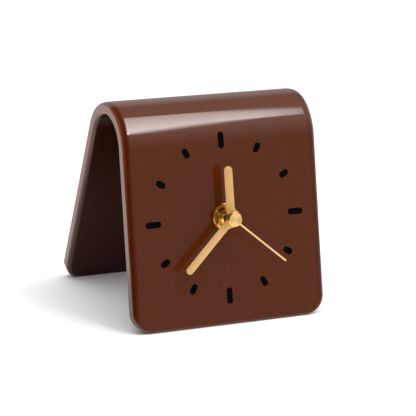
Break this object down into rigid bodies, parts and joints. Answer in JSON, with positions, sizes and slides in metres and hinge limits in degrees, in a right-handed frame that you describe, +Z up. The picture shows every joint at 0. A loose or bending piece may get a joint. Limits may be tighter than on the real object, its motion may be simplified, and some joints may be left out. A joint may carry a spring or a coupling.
{
  "type": "desk clock",
  "caption": "Free-standing desk clock: a thick glazed ceramic slab bent into an arch, black bar hour markers, brass hands and a battery quartz movement with a full gear train behind the dial.",
  "frame": {"origin": "on the surface that the clock stands on, under the middle of its bounding box", "axes": "+Z up, +X to the right of the dial as a reader sees it, +Y from the dial to the back"},
  "size_m": [0.0994, 0.0977, 0.1015],
  "materials": {
    "brown_glaze": "glossy, thinner and more orange on the rims",
    "black_enamel": "semi-gloss black inlay",
    "polished_brass": "polished",
    "satin_brass": "satin, turned on the cap",
    "bright_steel": "bright",
    "black_case": "fine matte",
    "white_resin": "smooth",
    "black_rubber": "matte",
    "copper_wire": "enamelled wire, stands in for copper",
    "board_green": "solder resist",
    "magnet_grey": "ground",
    "battery_sleeve": "coloured sleeve over a filled can"
  },
  "bodies": {
    "clock": {"clock_body": "brown_glaze", "rubber_gasket": "black_rubber", "hour_marker_01": "black_enamel", "hour_marker_02": "black_enamel", "hour_marker_03": "black_enamel", "hour_marker_04": "black_enamel", "hour_marker_05": "black_enamel", "hour_marker_06": "black_enamel", "hour_marker_07": "black_enamel", "hour_marker_08": "black_enamel", "hour_marker_09": "black_enamel", "hour_marker_10": "black_enamel", "hour_marker_11": "black_enamel", "hour_marker_12": "black_enamel", "dial_washer": "polished_brass", "hand_nut": "polished_brass", "threaded_bush": "polished_brass", "movement_front_case": "black_case", "movement_rear_case": "black_case", "clock_chip": "black_case", "middle_plate": "white_resin", "coil_bobbin": "white_resin", "stator_yoke": "bright_steel", "coil_core": "bright_steel", "quartz_crystal": "bright_steel", "battery_contact_positive": "bright_steel", "battery_contact_negative": "bright_steel", "coil_winding": "copper_wire", "circuit_board": "board_green"},
    "hour": {"hour_hand": "satin_brass", "hour_wheel": "white_resin"},
    "minute": {"minute_hand": "satin_brass", "minute_pipe": "polished_brass", "centre_wheel": "polished_brass"},
    "second": {"second_hand": "satin_brass", "second_hand_collar": "satin_brass", "second_hand_cap": "satin_brass", "second_wheel": "white_resin"},
    "third": {"third_wheel": "white_resin"},
    "fifth": {"fifth_wheel": "white_resin"},
    "rotor": {"rotor_pinion": "white_resin", "rotor_magnet": "magnet_grey"},
    "reverse": {"reverse_wheel": "white_resin"},
    "knob": {"setting_knob": "black_case"},
    "battery": {"battery_cell": "battery_sleeve"}
  },
  "joints": [
    {"name": "second_hand_turn", "type": "hinge", "parent": "clock", "child": "second", "pos_m": [0, -0.03409, 0.0494], "axis": [0, 0.9744, -0.225], "continuous": true},
    {"name": "minute_hand_turn", "type": "hinge", "parent": "clock", "child": "minute", "pos_m": [0, -0.03409, 0.0494], "axis": [0, 0.9744, -0.225], "continuous": true},
    {"name": "hour_hand_turn", "type": "hinge", "parent": "clock", "child": "hour", "pos_m": [0, -0.03409, 0.0494], "axis": [0, 0.9744, -0.225], "continuous": true},
    {"name": "third_wheel_turn", "type": "hinge", "parent": "clock", "child": "third", "pos_m": [-0.00736, -0.03313, 0.05354], "axis": [0, 0.9744, -0.225], "continuous": true},
    {"name": "fifth_wheel_turn", "type": "hinge", "parent": "clock", "child": "fifth", "pos_m": [0.00385, -0.03259, 0.0559], "axis": [0, 0.9744, -0.225], "continuous": true},
    {"name": "rotor_turn", "type": "hinge", "parent": "clock", "child": "rotor", "pos_m": [0.01009, -0.03178, 0.05941], "axis": [0, 0.9744, -0.225], "continuous": true},
    {"name": "reverse_wheel_turn", "type": "hinge", "parent": "clock", "child": "reverse", "pos_m": [0.003, -0.03525, 0.04434], "axis": [0, 0.9744, -0.225], "continuous": true},
    {"name": "setting_knob_turn", "type": "hinge", "parent": "clock", "child": "knob", "pos_m": [0.00915, -0.0355, 0.04328], "axis": [0, 0.9744, -0.225], "continuous": true},
    {"name": "battery_slide", "type": "slide", "parent": "clock", "child": "battery", "axis": [0, 0.9744, -0.225], "range_m": [0, 0.018]}
  ],
  "couplings": [
    {"joint": "minute_hand_turn", "follows": "second_hand_turn", "ratio": 0.016667},
    {"joint": "hour_hand_turn", "follows": "second_hand_turn", "ratio": 0.0013889},
    {"joint": "third_wheel_turn", "follows": "second_hand_turn", "ratio": -0.13333},
    {"joint": "fifth_wheel_turn", "follows": "second_hand_turn", "ratio": -6},
    {"joint": "rotor_turn", "follows": "second_hand_turn", "ratio": 30},
    {"joint": "reverse_wheel_turn", "follows": "second_hand_turn", "ratio": -0.0055556},
    {"joint": "setting_knob_turn", "follows": "second_hand_turn", "ratio": 0.014286}
  ]
}
